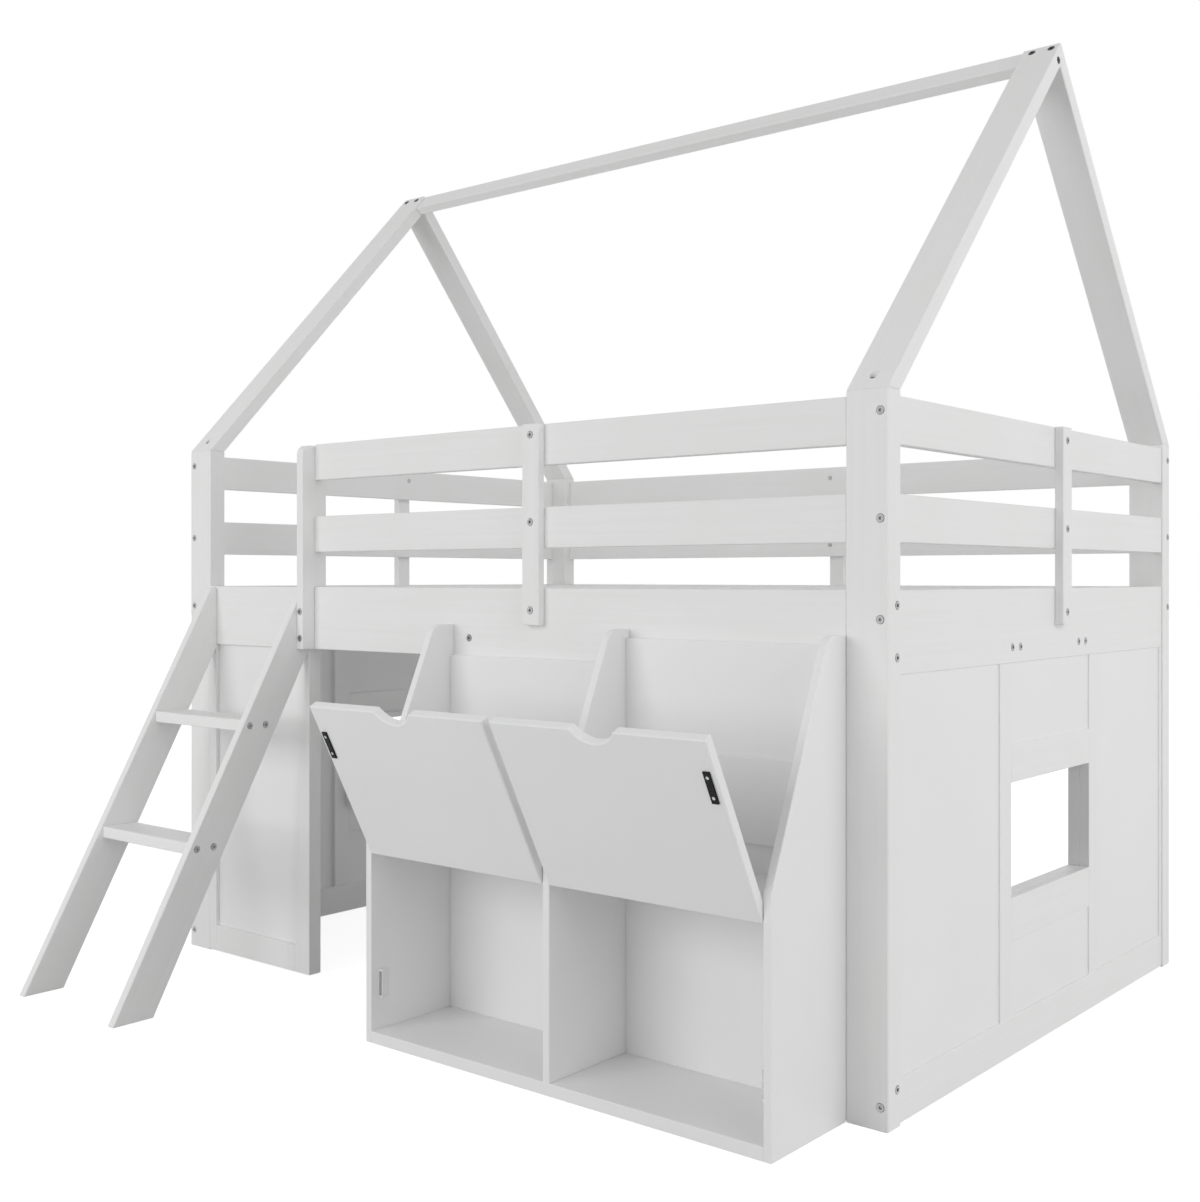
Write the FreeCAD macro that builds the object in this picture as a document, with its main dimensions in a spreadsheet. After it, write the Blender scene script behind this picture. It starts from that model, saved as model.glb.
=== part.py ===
import FreeCAD, Part
import os
import re
import Sketcher
from FreeCAD import Placement, Rotation, Vector

# A house-shaped loft bed for a 1372 x 1905 mattress, with a ladder and a flap cabinet under it.
# Lengths are millimetres. X runs along the bed, Y from the front to the back, Z up from the floor.
# The sizes are read from the left end face, the front face of the posts and the floor; the part
# itself stands with its middle over the origin.

SIZES = {
    # house frame
    "bed_long": 2000.0,
    "bed_wide": 1418.0,
    "post_wide": 82.0,
    "post_deep": 45.0,
    "post_high": 1267.0,
    "apex_high": 2062.5,
    "apex_back": 745.0,
    "ridge_thick": 24.0,
    "ridge_wide": 54.0,
    "ridge_set": 4.4,
    # rails
    "rail_thick": 22.0,
    "end_set": 4.0,
    "bed_low": 775.5,
    "bed_tall": 146.5,
    "guard_tall": 84.0,
    "guard_lower_low": 1004.0,
    "guard_upper_low": 1173.0,
    # mattress support
    "ledger_low": 796.0,
    "ledger_tall": 110.0,
    "slat_thick": 14.0,
    "slat_wide": 70.0,
    "slat_inset": 8.0,
    "spine_wide": 45.0,
    "spine_tall": 70.0,
    "head_rail_tall": 60.0,
    # battens over the rails
    "batten_thick": 19.0,
    "batten_wide": 45.0,
    "batten_low": 846.0,
    "batten_front_at": 1196.0,
    "batten_back_at": 1069.0,
    "batten_left_at": 736.0,
    "batten_right_at": 744.0,
    # end walls
    "wall_lift": 3.0,
    "sill_tall": 76.0,
    "edge_stile": 15.0,
    "stile_wide": 52.0,
    "window_from": 507.0,
    "window_wide": 404.0,
    "window_low": 313.0,
    "window_tall": 227.0,
    "over_window": 75.0,
    "under_window": 86.0,
    "infill_thick": 6.0,
    "infill_set": 3.0,
    "lining_deep": 25.5,
    "lining_thick": 15.0,
    # wall beside the doorway
    "jamb_wide": 53.0,
    "jamb_thick": 35.0,
    "door_reveal": 2.0,
    "door_stile": 26.0,
    "door_sill_tall": 63.5,
    "door_infill_set": 10.0,
    "kick_low": 36.0,
    "kick_tall": 60.0,
    # ladder
    "ladder_from": 91.0,
    "ladder_wide": 380.0,
    "stringer_thick": 21.0,
    "ladder_reach": 518.0,
    "ladder_top": 919.0,
    "ladder_nose": 17.6,
    "stringer_level": 98.5,
    "tread_thick": 26.0,
    "tread_deep": 86.0,
    "tread_set": 3.0,
    "tread_low_at": 358.0,
    "tread_high_at": 619.0,
    # post at the ladder side of the guard rails
    "guard_post_thick": 22.0,
    "guard_post_fore": 36.0,
    "guard_post_aft": 35.0,
    "guard_post_round": 22.0,
    "guard_post_drop": 3.0,
    # flap cabinet
    "cab_from": 942.0,
    "cab_deep": 235.0,
    "cab_board": 16.0,
    "cab_knee": 434.0,
    "cab_high": 844.0,
    "cab_top_deep": 58.0,
    "cab_round": 32.0,
    "cab_base": 24.0,
    "bin_left_wide": 466.0,
    "shelf_low": 394.0,
    "shelf_set": 23.0,
    "back_thick": 12.0,
    "back_left_high": 778.0,
    "back_right_high": 827.0,
    "back_lower_low": 464.0,
    "back_lower_high": 620.0,
    "back_lower_thick": 8.0,
    # flaps
    "flap_gap": 1.0,
    "flap_thick": 20.0,
    "flap_tall": 348.0,
    "flap_tilt": 27.2,
    "pivot_up": 8.0,
    "pivot_in": 3.8,
    "pivot_high": 395.9,
    "notch_wide": 94.0,
    "notch_deep": 26.0,
    "pin_radius": 3.0,
    "pin_play": 0.05,
    "pin_seat": 7.0,
    "pin_reach": 14.0,
    "pin_end_air": 0.5,
    "plate_long": 59.0,
    "plate_wide": 13.0,
    "plate_thick": 3.0,
    "plate_edge": 9.0,
    "plate_down": 57.0,
    "catch_long": 57.0,
    "catch_thick": 14.0,
    "catch_deep": 19.0,
    "catch_low": 90.0,
    "catch_air": 0.4,
    # bolts
    "head_radius": 7.0,
    "head_tall": 5.0,
    "head_proud": 0.6,
    "head_air": 0.9,
    "socket_radius": 3.6,
    "socket_deep": 4.2,
    "shank_radius": 3.0,
    "shank_air": 0.3,
    "shank_lap": 0.5,
    "bolt_bite": 23.0,
    "nut_radius": 5.5,
    "nut_tall": 3.0,
    "nut_proud": 0.5,
    "bolt_upper_up": 56.0,
    "bolt_lower_up": 41.0,
    "bolt_bed_up": 96.5,
    "bolt_pair_up": 31.0,
    "bolt_ledger_in": 10.0,
    "bolt_apex_down": 16.0,
    "bolt_apex_long": 70.0,
    "bolt_ridge_down": 39.0,
    "bolt_ridge_deep": 18.5,
    "bolt_rafter_edge": 17.0,
    "bolt_rafter_apart": 42.0,
    "bolt_back_drop": 24.0,
    "bolt_back_lower_up": 38.0,
    "bolt_back_bed_up": 96.5,
    "bolt_batten_upper_up": 62.0,
    "bolt_batten_lower_up": 53.0,
    "bolt_batten_bed_up": 101.5,
    "bolt_batten_back_at": 1060.3,
    "bolt_batten_back_upper_up": 54.3,
    "bolt_batten_back_lower_up": 32.5,
    "bolt_wall_in": 26.0,
    "bolt_wall_in_back": 39.0,
    "bolt_wall_apart": 38.0,
    "bolt_tread_in": 10.0,
    "bolt_tread_apart": 43.5,
    "bolt_bin_at": 1003.0,
    "bolt_bin_high": 815.0,
    "bolt_guard_drop": 8.0,
    "bolt_guard_up": 26.0,
    "bolt_foot_in": 26.5,
    # how far cutting tools reach past a face
    "cut_over": 1.0,
    "bore_over": 2.0,
    "bore_over_apex": 5.0,
    "bore_over_foot": 20.0,
    "grip_over": 5.0,
    # eased edges
    "post_ease": 2.0,
    "rail_ease": 1.5,
    "board_ease": 1.0,
    "infill_ease": 0.2,
    "flap_ease": 2.0,
}
SLAT_COUNT = 13

doc = FreeCAD.newDocument("LoftBed")
sheet = doc.addObject("Spreadsheet::Sheet", "Sizes")
for row, (name, value) in enumerate(SIZES.items(), start=1):
    sheet.set(f"A{row}", name)
    sheet.set(f"B{row}", str(value))
    sheet.setAlias(f"B{row}", name)
doc.recompute()

# Lines and planes that several pieces share, written with the names of the sizes.
MID_X = "bed_long / 2"
MID_Y = "(bed_wide + batten_thick - ladder_reach) / 2"
FRAME_L = "post_wide"
FRAME_R = "(bed_long - post_wide)"
BAY_F = "post_deep"
BAY_B = "(bed_wide - post_deep)"
BED_TOP = "(bed_low + bed_tall)"
GUARD_TOP = "(guard_upper_low + guard_tall)"
GUARD_POST_TOP = f"({GUARD_TOP} - guard_post_drop)"
SLAT_SEAT = "(ledger_low + ledger_tall)"
WALL_TOP = "bed_low"
SILL_TOP = "(wall_lift + sill_tall)"
WINDOW_TO = "(window_from + window_wide)"
WINDOW_TOP = "(window_low + window_tall)"
STILE_FROM = "(window_from - stile_wide)"
STILE_TO = "(window_from + window_wide + stile_wide)"
RISE = "(apex_high - post_high)"
SLOPE = f"sqrt({RISE} * {RISE} + apex_back * apex_back)"
ROOF_COS = f"(apex_back / {SLOPE})"
ROOF_SIN = f"({RISE} / {SLOPE})"
INNER_RISE = f"({RISE} * (bed_wide - 2 * post_deep) / bed_wide)"
INNER_Y = "(post_deep + apex_back * (bed_wide - 2 * post_deep) / bed_wide)"
LADDER_R = "(ladder_from + ladder_wide)"
LADDER_RUN = "((ladder_reach - ladder_nose) / ladder_top)"
GUARD_FROM = f"({LADDER_R} + guard_post_thick)"
DOORWAY_L = f"({LADDER_R} + door_reveal)"
CAB_R = FRAME_R
BIN_L = "(cab_from + cab_board)"
DIVIDER = f"({BIN_L} + bin_left_wide)"
BIN_R = f"({DIVIDER} + cab_board)"
BIN_END = f"({CAB_R} - cab_board)"
SHELF_TOP = "(shelf_low + cab_board)"
PIVOT_Y = "(pivot_in - cab_deep)"
SECOND_BOARD = "(rail_thick + rail_thick / 2)"
BOLT_UPPER = "(guard_upper_low + bolt_upper_up)"
BOLT_LOWER = "(guard_lower_low + bolt_lower_up)"
BOLT_BED = "(bed_low + bolt_bed_up)"
TWO_BOARDS = "(batten_thick + rail_thick)"
NUT_FROM = f"({TWO_BOARDS} - nut_tall + nut_proud)"

blanks = {}
bores = {}
groups = {}
nodes = []


def named(text):
    """An expression with every size pointing at its cell in the sheet."""
    return re.sub(r"[a-z]\w*", lambda m: "Sizes." + m.group() if m.group() in SIZES else m.group(), text)


def bind(obj, prop, text):
    obj.setExpression(prop, named(text))


def put(obj, x, y, z):
    """Stand an object at a place read from the bed's left end, front face and floor."""
    bind(obj, "Placement.Base.x", f"({x}) - {MID_X}")
    bind(obj, "Placement.Base.y", f"({y}) - {MID_Y}")
    bind(obj, "Placement.Base.z", z)


def piece(name, parent=None):
    """Keep a blank as a piece of its own, or as one of the solids that share a node."""
    if parent:
        groups.setdefault(parent, []).append(name)
    else:
        groups[name] = [name]


def ease_edges(body, feature, ease):
    doc.recompute()
    chamfer = body.newObject("PartDesign::Chamfer", "Ease")
    chamfer.Base = (feature, ["Edge1"])
    chamfer.UseAllEdges = True
    bind(chamfer, "Size", ease)


def board(name, xs, ys, zs, ease="rail_ease", parent=None):
    """A straight board between two planes in each direction, with its edges eased."""
    body = doc.addObject("PartDesign::Body", "Body_" + name)
    solid = body.newObject("PartDesign::AdditiveBox", "Board")
    bind(solid, "Length", f"({xs[1]}) - ({xs[0]})")
    bind(solid, "Width", f"({ys[1]}) - ({ys[0]})")
    bind(solid, "Height", f"({zs[1]}) - ({zs[0]})")
    ease_edges(body, solid, ease)
    put(body, xs[0], ys[0], zs[0])
    blanks[name] = body
    piece(name, parent)
    return body


def plane_of(body, role):
    return [f for f in body.Origin.OriginFeatures if f.Role == role][0]


def outline(sketch, corners):
    """A closed outline through the corners; every corner is held by its own two sizes."""
    flat = [(0.0, 0.0)] * len(corners)
    for i, (u, v) in enumerate(corners):
        flat[i] = (sheet_value(u), sheet_value(v))
    for i in range(len(corners)):
        a = flat[i]
        b = flat[(i + 1) % len(corners)]
        sketch.addGeometry(Part.LineSegment(Vector(*a, 0), Vector(*b, 0)))
    for i in range(len(corners)):
        sketch.addConstraint(Sketcher.Constraint("Coincident", i, 2, (i + 1) % len(corners), 1))
    for i, (u, v) in enumerate(corners):
        hold(sketch, "DistanceX", -2, i, u, flat[i][0])
        hold(sketch, "DistanceY", -1, i, v, flat[i][1])


def hold(sketch, kind, axis, line, text, value):
    if text == "0":
        sketch.addConstraint(Sketcher.Constraint("PointOnObject", line, 1, axis))
        return
    index = sketch.addConstraint(Sketcher.Constraint(kind, -1, 1, line, 1, value))
    sketch.setExpression(f"Constraints[{index}]", named(text))


def sheet_value(text):
    return float(sheet.evalExpression(re.sub(r"Sizes\.", "", named(text))))


def profile(name, corners, xs, ease="rail_ease", rounds=(), parent=None):
    """A board cut to an outline in the Y-Z plane; rounds lists corners (y, z) and their radius."""
    body = doc.addObject("PartDesign::Body", "Body_" + name)
    sketch = body.newObject("Sketcher::SketchObject", "Outline")
    sketch.AttachmentSupport = (plane_of(body, "YZ_Plane"), [""])
    sketch.MapMode = "FlatFace"
    outline(sketch, corners)
    pad = body.newObject("PartDesign::Pad", "Pad")
    pad.Profile = sketch
    bind(pad, "Length", f"({xs[1]}) - ({xs[0]})")
    feature = pad
    for y, z, radius in rounds:
        doc.recompute()
        at = (sheet_value(y), sheet_value(z))
        edges = []
        for i, edge in enumerate(feature.Shape.Edges, start=1):
            ends = [v.Point for v in edge.Vertexes]
            if all(abs(p.y - at[0]) < 0.01 and abs(p.z - at[1]) < 0.01 for p in ends):
                edges.append(f"Edge{i}")
        fillet = body.newObject("PartDesign::Fillet", "Round")
        fillet.Base = (feature, edges)
        bind(fillet, "Radius", radius)
        feature = fillet
    ease_edges(body, feature, ease)
    put(body, xs[0], "0", "0")
    blanks[name] = body
    piece(name, parent)
    return body


# Ways that a bolt can point: the turn that brings Z to it, and its share of X, Y and Z
WAYS = {
    "+x": (Vector(0, 1, 0), "90", ("1", "0", "0")),
    "-x": (Vector(0, -1, 0), "90", ("-1", "0", "0")),
    "+y": (Vector(-1, 0, 0), "90", ("0", "1", "0")),
    "-y": (Vector(1, 0, 0), "90", ("0", "-1", "0")),
    "-z": (Vector(1, 0, 0), "180", ("0", "0", "-1")),
    "into_roof": (Vector(-1, 0, 0), f"180 - atan({RISE} / apex_back) / 1deg",
                  ("0", ROOF_SIN, f"-{ROOF_COS}")),
}


def point_along(obj, way, at, start):
    """Turn an object to a way and stand it a distance along that way from a point."""
    axis, angle, shares = WAYS[way]
    obj.Placement = Placement(Vector(0, 0, 0), Rotation(axis, sheet_value(angle)))
    bind(obj, "Placement.Rotation.Angle", angle)
    place = [f"({place}) + ({share}) * ({start})" for place, share in zip(at, shares)]
    put(obj, *place)


def round_bar(label, way, at, start, radius, long):
    """A cylinder that starts a distance along its way from a point and runs on in that way."""
    bar = doc.addObject("Part::Cylinder", label)
    bind(bar, "Radius", radius)
    bind(bar, "Height", long)
    point_along(bar, way, at, start)
    return bar


def bolt(group, way, at, long, boards, over="bore_over", nut=False):
    """A socket-head bolt seated in a face, and its bores in the boards that it goes through.

    With a nut it goes through a batten and a rail, and long is where the nut's seat starts."""
    label = f"{group}_{len(groups.get(group, [])) + 1}"
    if nut:
        long = f"({long} - head_tall + head_proud + shank_lap)"
    parts = [
        round_bar(label + "_head", way, at, "0 - head_proud", "head_radius", "head_tall"),
        round_bar(label + "_shank", way, at, "head_tall - head_proud - shank_lap", "shank_radius",
                  f"({long}) + shank_lap"),
    ]
    if nut:
        parts.append(round_bar(label + "_nut", way, at, NUT_FROM, "nut_radius", "nut_tall"))
    whole = doc.addObject("Part::MultiFuse", label + "_whole")
    whole.Shapes = parts
    socket = doc.addObject("Part::Prism", label + "_socket")
    socket.Polygon = 6
    bind(socket, "Circumradius", "socket_radius")
    bind(socket, "Height", "socket_deep + cut_over")
    point_along(socket, way, at, "0 - head_proud - cut_over")
    done = doc.addObject("Part::Cut", label)
    done.Base = whole
    done.Tool = socket
    blanks[label] = done
    groups.setdefault(group, []).append(label)
    seat = round_bar(label + "_seat", way, at, f"0 - ({over})", "head_radius + head_air",
                     f"({over}) + head_tall - head_proud")
    hole = round_bar(label + "_hole", way, at, f"0 - ({over})", "shank_radius + shank_air",
                     f"({over}) + head_tall - head_proud + ({long}) + cut_over")
    bores.setdefault(boards[0], []).append(seat)
    for name in boards:
        bores.setdefault(name, []).append(hole)
    if nut:
        bores[boards[-1]].append(round_bar(label + "_nut_seat", way, at, NUT_FROM,
                                           "nut_radius + head_air", "nut_tall + cut_over"))


def at_end(side, near, far):
    """Two planes measured inwards from the left or the right end face."""
    if side == "left":
        return (near, far)
    return (f"bed_long - ({far})", f"bed_long - ({near})")


# Corner posts
for end in ("left", "right"):
    board(f"post_front_{end}", at_end(end, "0", "post_wide"), ("0", "post_deep"), ("0", "post_high"),
          "post_ease")
    board(f"post_back_{end}", at_end(end, "0", "post_wide"), (BAY_B, "bed_wide"), ("0", "post_high"),
          "post_ease")

# Rafters: each foot covers its post, and the two tops lean on each other along one joint
for end in ("left", "right"):
    profile(f"rafter_front_{end}",
            [("0", "post_high"), ("post_deep", "post_high"),
             (INNER_Y, f"post_high + {INNER_RISE}"), ("apex_back", "apex_high")],
            at_end(end, "0", "post_wide"))
    profile(f"rafter_back_{end}",
            [(BAY_B, "post_high"), ("bed_wide", "post_high"),
             ("apex_back", "apex_high"), (INNER_Y, f"post_high + {INNER_RISE}")],
            at_end(end, "0", "post_wide"))


def under_roof(down, deep):
    """A point some way down the front slope from the apex and some way in from its outer face."""
    return (f"apex_back - ({down}) * {ROOF_COS} + ({deep}) * {ROOF_SIN}",
            f"apex_high - ({down}) * {ROOF_SIN} - ({deep}) * {ROOF_COS}")


# The ridge board lies along the front slope, a little in from the rafters' outer faces
profile("ridge_board",
        [under_roof("ridge_wide", "ridge_set"), under_roof("ridge_wide", "ridge_set + ridge_thick"),
         under_roof("0", "ridge_set + ridge_thick"), under_roof("0", "ridge_set")],
        (FRAME_L, FRAME_R))

# Bed rails and guard rails
BED_Z = ("bed_low", BED_TOP)
GUARDS = {
    "lower": ("guard_lower_low", "guard_lower_low + guard_tall"),
    "upper": ("guard_upper_low", GUARD_TOP),
}
FRONT_Y = ("0", "rail_thick")
BACK_Y = ("bed_wide - rail_thick", "bed_wide")
END_NEAR = "end_set"
END_FAR = "(end_set + rail_thick)"
board("bed_rail_front", (FRAME_L, FRAME_R), FRONT_Y, BED_Z)
board("bed_rail_back", (FRAME_L, FRAME_R), BACK_Y, BED_Z)
for level, heights in GUARDS.items():
    board(f"guard_front_{level}", (GUARD_FROM, FRAME_R), FRONT_Y, heights, parent="guard_rails_front")
    board(f"guard_back_{level}", (FRAME_L, FRAME_R), BACK_Y, heights, parent="guard_rails_back")
for end in ("left", "right"):
    board(f"bed_rail_{end}", at_end(end, END_NEAR, END_FAR), (BAY_F, BAY_B), BED_Z)
    for level, heights in GUARDS.items():
        board(f"guard_{end}_{level}", at_end(end, END_NEAR, END_FAR), (BAY_F, BAY_B), heights,
              parent=f"guard_rails_{end}")

# Mattress support: ledgers inside the long rails, a spine in the middle, slats across them
board("ledger_front", (FRAME_L, FRAME_R), ("rail_thick", "2 * rail_thick"), ("ledger_low", SLAT_SEAT))
board("ledger_back", (FRAME_L, FRAME_R), ("bed_wide - 2 * rail_thick", "bed_wide - rail_thick"),
      ("ledger_low", SLAT_SEAT))
board("spine_beam", (END_FAR, f"bed_long - {END_FAR}"),
      ("bed_wide / 2 - spine_wide / 2", "bed_wide / 2 + spine_wide / 2"),
      (f"{SLAT_SEAT} - spine_tall", SLAT_SEAT))
SLAT_PITCH = f"(({FRAME_R} - {FRAME_L} - 2 * slat_inset - slat_wide) / {SLAT_COUNT - 1})"
for i in range(SLAT_COUNT):
    slat_x = f"({FRAME_L} + slat_inset + {i} * {SLAT_PITCH})"
    board(f"slat_{i + 1}", (slat_x, f"{slat_x} + slat_wide"), ("rail_thick", "bed_wide - rail_thick"),
          (SLAT_SEAT, f"{SLAT_SEAT} + slat_thick"), "board_ease", "mattress_slats")

# Battens that tie the rails together on every side
BATTEN_Z = ("batten_low", GUARD_TOP)
HALF = "batten_wide / 2"
board("batten_front", (f"batten_front_at - {HALF}", f"batten_front_at + {HALF}"),
      ("0 - batten_thick", "0"), BATTEN_Z)
board("batten_back", (f"batten_back_at - {HALF}", f"batten_back_at + {HALF}"),
      ("bed_wide", "bed_wide + batten_thick"), BATTEN_Z)
for end in ("left", "right"):
    board(f"batten_{end}", at_end(end, "end_set - batten_thick", "end_set"),
          (f"batten_{end}_at - {HALF}", f"batten_{end}_at + {HALF}"), BATTEN_Z)

# End walls under the bed, each with a framed window
for end in ("left", "right"):
    frame_x = at_end(end, END_NEAR, END_FAR)
    infill_x = at_end(end, "end_set + infill_set", "end_set + infill_set + infill_thick")
    lining_x = at_end(end, END_FAR, f"{END_FAR} + lining_deep")
    head_x = at_end(end, END_FAR, f"{END_FAR} + rail_thick")
    stile_z = (SILL_TOP, WALL_TOP)
    stiles = f"wall_stiles_{end}"
    rails = f"wall_rails_{end}"
    infill = f"wall_infill_{end}"
    lining = f"window_lining_{end}"
    board(f"stile_edge_front_{end}", frame_x, (BAY_F, f"{BAY_F} + edge_stile"),
          stile_z, "board_ease", stiles)
    board(f"stile_front_{end}", frame_x, (STILE_FROM, "window_from"), stile_z, "board_ease", stiles)
    board(f"stile_back_{end}", frame_x, (WINDOW_TO, STILE_TO), stile_z, "board_ease", stiles)
    board(f"stile_edge_back_{end}", frame_x, (f"{BAY_B} - edge_stile", BAY_B),
          stile_z, "board_ease", stiles)
    board(f"wall_sill_{end}", frame_x, (BAY_F, BAY_B), ("wall_lift", SILL_TOP), "board_ease", rails)
    board(f"rail_under_{end}", frame_x, ("window_from", WINDOW_TO),
          ("window_low - under_window", "window_low"), "board_ease", rails)
    board(f"rail_over_{end}", frame_x, ("window_from", WINDOW_TO),
          (WINDOW_TOP, f"{WINDOW_TOP} + over_window"), "board_ease", rails)
    board(f"head_rail_{end}", head_x, (STILE_FROM, STILE_TO),
          (f"{SLAT_SEAT} - spine_tall - head_rail_tall", f"{SLAT_SEAT} - spine_tall"), "board_ease", rails)
    board(f"infill_front_{end}", infill_x, (f"{BAY_F} + edge_stile", STILE_FROM),
          stile_z, "infill_ease", infill)
    board(f"infill_back_{end}", infill_x, (STILE_TO, f"{BAY_B} - edge_stile"),
          stile_z, "infill_ease", infill)
    board(f"infill_below_{end}", infill_x, ("window_from", WINDOW_TO),
          (SILL_TOP, "window_low - under_window"), "infill_ease", infill)
    board(f"infill_above_{end}", infill_x, ("window_from", WINDOW_TO),
          (f"{WINDOW_TOP} + over_window", WALL_TOP), "infill_ease", infill)
    board(f"lining_low_{end}", lining_x, ("window_from - lining_thick", f"{WINDOW_TO} + lining_thick"),
          ("window_low - lining_thick", "window_low"), "board_ease", lining)
    board(f"lining_top_{end}", lining_x, ("window_from - lining_thick", f"{WINDOW_TO} + lining_thick"),
          (WINDOW_TOP, f"{WINDOW_TOP} + lining_thick"), "board_ease", lining)
    board(f"lining_front_{end}", lining_x, ("window_from - lining_thick", "window_from"),
          ("window_low", WINDOW_TOP), "board_ease", lining)
    board(f"lining_back_{end}", lining_x, (WINDOW_TO, f"{WINDOW_TO} + lining_thick"),
          ("window_low", WINDOW_TOP), "board_ease", lining)

# Front wall beside the doorway, and the jamb and stile behind the cabinet
JAMB_FROM = f"({DOORWAY_L} - jamb_wide)"
STILE_IN = f"({FRAME_L} + door_stile)"
KICK_Z = ("kick_low", "kick_low + kick_tall")
KICK_Y = ("rail_thick", "2 * rail_thick")
JAMB_Z = ("wall_lift", WALL_TOP)
board("front_stile", (FRAME_L, STILE_IN), FRONT_Y, JAMB_Z, "board_ease", "front_wall_frame")
board("front_jamb", (JAMB_FROM, DOORWAY_L), ("0", "jamb_thick"), JAMB_Z, "board_ease", "front_wall_frame")
board("front_sill", (STILE_IN, JAMB_FROM), FRONT_Y, ("wall_lift", "wall_lift + door_sill_tall"),
      "board_ease", "front_wall_frame")
board("front_kick", (FRAME_L, JAMB_FROM), KICK_Y, KICK_Z, "board_ease", "front_wall_frame")
board("cabinet_jamb", ("cab_from", "cab_from + jamb_wide"), ("0", "jamb_thick"), JAMB_Z, "board_ease",
      "front_wall_frame")
board("cabinet_kick", ("cab_from + jamb_wide", FRAME_R), KICK_Y, KICK_Z, "board_ease", "front_wall_frame")
board("cabinet_stile", (f"{FRAME_R} - door_stile", FRAME_R), FRONT_Y, JAMB_Z, "board_ease",
      "front_wall_frame")
board("front_wall_infill", (STILE_IN, JAMB_FROM), ("door_infill_set", "door_infill_set + infill_thick"),
      ("wall_lift + door_sill_tall", WALL_TOP), "infill_ease")

# Ladder: two leaning stringers with level feet and plumb tops, and two treads
STRINGER = [
    ("0 - ladder_reach", "0"),
    ("stringer_level - ladder_reach", "0"),
    ("0", f"(ladder_reach - stringer_level) / {LADDER_RUN}"),
    ("0", "ladder_top"),
    ("0 - ladder_nose", "ladder_top"),
]
profile("stringer_left", STRINGER, ("ladder_from", "ladder_from + stringer_thick"))
profile("stringer_right", STRINGER, (f"{LADDER_R} - stringer_thick", LADDER_R))
TREADS = {"low": "tread_low_at", "high": "tread_high_at"}
tread_front = {}
for level, top in TREADS.items():
    tread_front[level] = f"(0 - ladder_reach + {LADDER_RUN} * {top} + tread_set)"
    board(f"tread_{level}", ("ladder_from + stringer_thick", f"{LADDER_R} - stringer_thick"),
          (tread_front[level], f"{tread_front[level]} + tread_deep"), (f"{top} - tread_thick", top))

# Guard post beside the ladder: it hooks over the bed rail and carries the ends of the guard rails
profile("guard_post",
        [("0 - guard_post_fore", "bed_low"), ("0", "bed_low"), ("0", BED_TOP),
         ("guard_post_aft", BED_TOP), ("guard_post_aft", GUARD_POST_TOP),
         ("0 - guard_post_fore", GUARD_POST_TOP)],
        (LADDER_R, GUARD_FROM), rounds=[("0 - guard_post_fore", GUARD_POST_TOP, "guard_post_round")])

# Cabinet: two sides and a divider of one outline, base, shelves and backs
CAB_SIDE = [
    ("0 - cab_deep", "0"),
    ("0", "0"),
    ("0", "cab_high"),
    ("0 - cab_top_deep", "cab_high"),
    ("0 - cab_deep", "cab_knee"),
]
CAB_DIVIDER = [
    ("0 - cab_deep", "cab_base"),
    ("0", "cab_base"),
    ("0", "cab_high"),
    ("0 - cab_top_deep", "cab_high"),
    ("0 - cab_deep", "cab_knee"),
]
SHOULDER = [("0 - cab_top_deep", "cab_high", "cab_round")]
profile("cabinet_side_left", CAB_SIDE, ("cab_from", BIN_L), "board_ease", SHOULDER)
profile("cabinet_side_right", CAB_SIDE, (BIN_END, CAB_R), "board_ease", SHOULDER)
profile("cabinet_divider", CAB_DIVIDER, (DIVIDER, BIN_R), "board_ease", SHOULDER)
board("cabinet_base", (BIN_L, BIN_END), ("0 - cab_deep", "0"), ("0", "cab_base"), "board_ease")
BAYS = {"left": (BIN_L, DIVIDER, "back_left_high"), "right": (BIN_R, BIN_END, "back_right_high")}
for side, (x_from, x_to, back_high) in BAYS.items():
    board(f"bin_shelf_{side}", (x_from, x_to), ("shelf_set - cab_deep", "0 - back_thick"),
          ("shelf_low", SHELF_TOP), "board_ease")
    board(f"back_upper_{side}", (x_from, x_to), ("0 - back_thick", "0"), ("cab_base", back_high),
          "board_ease", f"cabinet_back_{side}")
    board(f"back_lower_{side}", (x_from, x_to), ("0 - back_thick - back_lower_thick", "0 - back_thick"),
          ("back_lower_low", "back_lower_high"), "board_ease", f"cabinet_back_{side}")

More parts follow.
